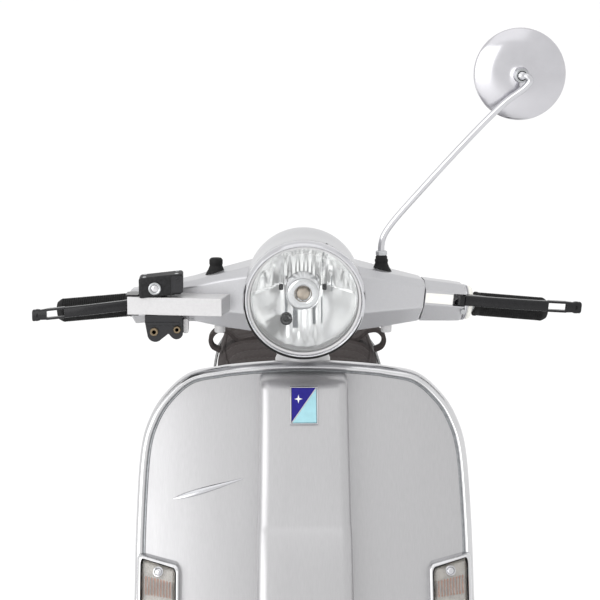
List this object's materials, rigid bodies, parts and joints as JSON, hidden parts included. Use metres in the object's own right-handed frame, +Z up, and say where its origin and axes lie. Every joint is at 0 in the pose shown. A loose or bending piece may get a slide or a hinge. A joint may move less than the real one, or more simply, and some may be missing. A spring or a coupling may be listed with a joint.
{
  "type": "motor scooter",
  "caption": "Step-through motor scooter with pressed-steel leg shield, round headlamp, hand gear change, side cowls and a long seat.",
  "frame": {"origin": "on the floor below the middle of the scooter's bounding box", "axes": "+Z up; the scooter faces -Y; +X is the rider's left"},
  "size_m": [0.7563, 1.7734, 1.3675],
  "materials": {
    "paint_silver": "satin silver-grey paint",
    "headset_paint": "cast alloy under the same satin silver-grey paint",
    "trim_bright": "satin bright edge trim",
    "chrome": "bright chrome",
    "steel": "plain steel",
    "alloy": "cast alloy",
    "plated_alloy": "brushed and plated",
    "black_plastic": "matt black",
    "black_metal": "black anodised",
    "rubber": "black moulded rubber",
    "tyre": "black tread rubber",
    "vinyl": "dark grey-brown seat vinyl over foam",
    "clear_lens": "clear ribbed lens",
    "lamp_glass": "clear glass",
    "mirror_bowl": "bright facets",
    "red_lens": "clear red",
    "enamel": "blue enamel face in a bright border",
    "tank_black": "black tank"
  },
  "bodies": {
    "frame": {"leg_shield": "paint_silver", "leg_shield_trim": "trim_bright", "front_indicator_left": "clear_lens", "front_indicator_right": "clear_lens", "horn_cover": "paint_silver", "front_badge": "enamel", "head_tube": "steel", "floorboard": "paint_silver", "glovebox": "black_plastic", "rear_frame": "paint_silver", "side_cowl_left": "paint_silver", "side_cowl_right": "paint_silver", "fuel_tank": "tank_black", "tail_light": "red_lens", "plate_bracket": "black_plastic", "rear_indicator_left": "clear_lens", "rear_indicator_right": "clear_lens"},
    "steering": {"steering_column": "steel", "front_mudguard": "paint_silver", "headset": "headset_paint", "headlamp_rim": "chrome", "headlamp_lens": "lamp_glass", "headlamp_reflector": "mirror_bowl", "speedometer": "black_plastic", "brake_master_cylinder": "black_metal", "switch_housing_left": "black_plastic", "switch_housing_right": "black_plastic"},
    "throttle": {"throttle_grip": "rubber"},
    "gear": {"gear_sleeve": "plated_alloy", "left_grip": "rubber"},
    "clutch": {"clutch_lever": "black_metal"},
    "brake_lever": {"front_brake_lever": "black_metal"},
    "mirror_arm": {"mirror_stalk": "chrome"},
    "mirror": {"mirror_head": "plated_alloy"},
    "link": {"front_link": "alloy", "brake_caliper": "alloy"},
    "front_wheel": {"front_tyre": "tyre", "front_rim": "steel", "front_hub": "alloy"},
    "front_damper_top": {"front_shock_upper": "black_metal"},
    "front_damper_rod": {"front_shock_lower": "steel"},
    "engine": {"engine_case": "alloy", "cylinder_cowl": "black_plastic", "exhaust": "steel"},
    "kick": {"kick_lever": "alloy"},
    "rear_wheel": {"rear_tyre": "tyre", "rear_rim": "steel", "rear_hub": "alloy"},
    "rear_damper_top": {"rear_shock_upper": "black_metal"},
    "rear_damper_rod": {"rear_shock_lower": "steel"},
    "pedal": {"brake_pedal": "black_metal"},
    "stand": {"centre_stand": "steel"},
    "seat": {"seat_pan": "black_plastic", "seat_cushion": "vinyl"},
    "cap": {"fuel_cap": "plated_alloy"},
    "glove_door": {"glovebox_door": "black_plastic"},
    "key": {"ignition_key": "steel"},
    "indicator_slider": {"indicator_switch": "black_plastic"},
    "horn": {"horn_button": "black_plastic"},
    "starter": {"starter_button": "red_lens"}
  },
  "joints": [
    {"name": "steering_turn", "type": "hinge", "parent": "frame", "child": "steering", "pos_m": [0, -0.272, 0.906], "axis": [0, 0.454, 0.891], "range_deg": [-40, 40]},
    {"name": "front_suspension", "type": "hinge", "parent": "steering", "child": "link", "pos_m": [-0.068, -0.735, 0.236], "axis": [1, 0, 0], "range_deg": [0, 22], "stiffness_Nm_per_rad": 150, "springref_deg": -20.05},
    {"name": "front_wheel_spin", "type": "hinge", "parent": "link", "child": "front_wheel", "pos_m": [0, -0.655, 0.216], "axis": [1, 0, 0], "continuous": true},
    {"name": "front_damper_swing", "type": "hinge", "parent": "steering", "child": "front_damper_top", "pos_m": [-0.11, -0.545, 0.405], "axis": [1, 0, 0], "range_deg": [-6.5, 0.5]},
    {"name": "front_damper_slide", "type": "slide", "parent": "front_damper_top", "child": "front_damper_rod", "axis": [0, 0.4987, 0.8667], "range_m": [-0.0005, 0.0295]},
    {"name": "rear_suspension", "type": "hinge", "parent": "frame", "child": "engine", "pos_m": [0, 0.345, 0.27], "axis": [1, 0, 0], "range_deg": [0, 12], "stiffness_Nm_per_rad": 700, "springref_deg": -20.05},
    {"name": "rear_wheel_spin", "type": "hinge", "parent": "engine", "child": "rear_wheel", "pos_m": [0, 0.605, 0.216], "axis": [1, 0, 0], "continuous": true},
    {"name": "rear_damper_swing", "type": "hinge", "parent": "frame", "child": "rear_damper_top", "pos_m": [-0.088, 0.655, 0.52], "axis": [1, 0, 0], "range_deg": [-6.5, 0.5]},
    {"name": "rear_damper_slide", "type": "slide", "parent": "rear_damper_top", "child": "rear_damper_rod", "axis": [0, 0.0686, 0.9976], "range_m": [-0.0005, 0.062]},
    {"name": "throttle_twist", "type": "hinge", "parent": "steering", "child": "throttle", "pos_m": [-0.29, -0.288, 0.97705], "axis": [-0.9875, 0.1185, -0.1037], "range_deg": [0, 80], "stiffness_Nm_per_rad": 0.3, "springref_deg": -17.19},
    {"name": "gear_twist", "type": "hinge", "parent": "steering", "child": "gear", "pos_m": [0.2, -0.2988, 0.9865], "axis": [0.9875, 0.1185, -0.1037], "range_deg": [-45, 45]},
    {"name": "clutch_pull", "type": "hinge", "parent": "gear", "child": "clutch", "pos_m": [0.2199, -0.3206, 0.9926], "axis": [0.1037, 0.0062, 0.9946], "range_deg": [0, 12], "stiffness_Nm_per_rad": 4, "springref_deg": -5.73},
    {"name": "front_brake_pull", "type": "hinge", "parent": "steering", "child": "brake_lever", "pos_m": [-0.2148, -0.352, 0.9955], "axis": [0, 0, -1], "range_deg": [0, 12], "stiffness_Nm_per_rad": 4, "springref_deg": -5.73},
    {"name": "mirror_stalk_turn", "type": "hinge", "parent": "steering", "child": "mirror_arm", "pos_m": [0.109, -0.305, 1.045], "axis": [0, 0, 1], "range_deg": [-15, 15]},
    {"name": "mirror_tilt", "type": "hinge", "parent": "mirror_arm", "child": "mirror", "pos_m": [0.298, -0.33, 1.304], "axis": [1, 0, 0], "range_deg": [-10, 10]},
    {"name": "brake_pedal_press", "type": "hinge", "parent": "frame", "child": "pedal", "pos_m": [-0.095, -0.07, 0.266], "axis": [1, 0, 0], "range_deg": [0, 10], "stiffness_Nm_per_rad": 20, "springref_deg": -8.59},
    {"name": "kick_start", "type": "hinge", "parent": "engine", "child": "kick", "pos_m": [-0.2, 0.47, 0.215], "axis": [1, 0, 0], "range_deg": [0, 50], "stiffness_Nm_per_rad": 5, "springref_deg": -14.32},
    {"name": "stand_fold", "type": "hinge", "parent": "frame", "child": "stand", "pos_m": [0, 0.11, 0.236], "axis": [1, 0, 0], "range_deg": [0, 78]},
    {"name": "seat_open", "type": "hinge", "parent": "frame", "child": "seat", "pos_m": [0, 0.113, 0.729], "axis": [1, 0, 0], "range_deg": [0, 70]},
    {"name": "fuel_cap_turn", "type": "hinge", "parent": "frame", "child": "cap", "pos_m": [0, 0.24, 0.745], "axis": [0, 0, 1], "range_deg": [0, 90]},
    {"name": "glovebox_open", "type": "hinge", "parent": "frame", "child": "glove_door", "pos_m": [0, -0.3608, 0.5295], "axis": [-1, 0, 0], "range_deg": [0, 80]},
    {"name": "key_turn", "type": "hinge", "parent": "steering", "child": "key", "pos_m": [0.046, -0.186, 1.01], "axis": [0.2505, 0.8619, 0.441], "range_deg": [0, 60]},
    {"name": "indicator_switch_slide", "type": "slide", "parent": "steering", "child": "indicator_slider", "axis": [1, 0, 0], "range_m": [-0.004, 0.004]},
    {"name": "horn_press", "type": "slide", "parent": "steering", "child": "horn", "axis": [0, -1, 0], "range_m": [0, 0.002], "stiffness_N_per_m": 400, "springref_m": -0.001},
    {"name": "starter_press", "type": "slide", "parent": "steering", "child": "starter", "axis": [0, -1, 0], "range_m": [0, 0.002], "stiffness_N_per_m": 400, "springref_m": -0.001}
  ],
  "couplings": [
    {"joint": "front_damper_swing", "follows": "front_suspension", "ratio": -0.2536},
    {"joint": "front_damper_slide", "follows": "front_suspension", "m_per_rad": 0.07128},
    {"joint": "rear_damper_swing", "follows": "rear_suspension", "ratio": -0.4545},
    {"joint": "rear_damper_slide", "follows": "rear_suspension", "m_per_rad": 0.2822}
  ]
}
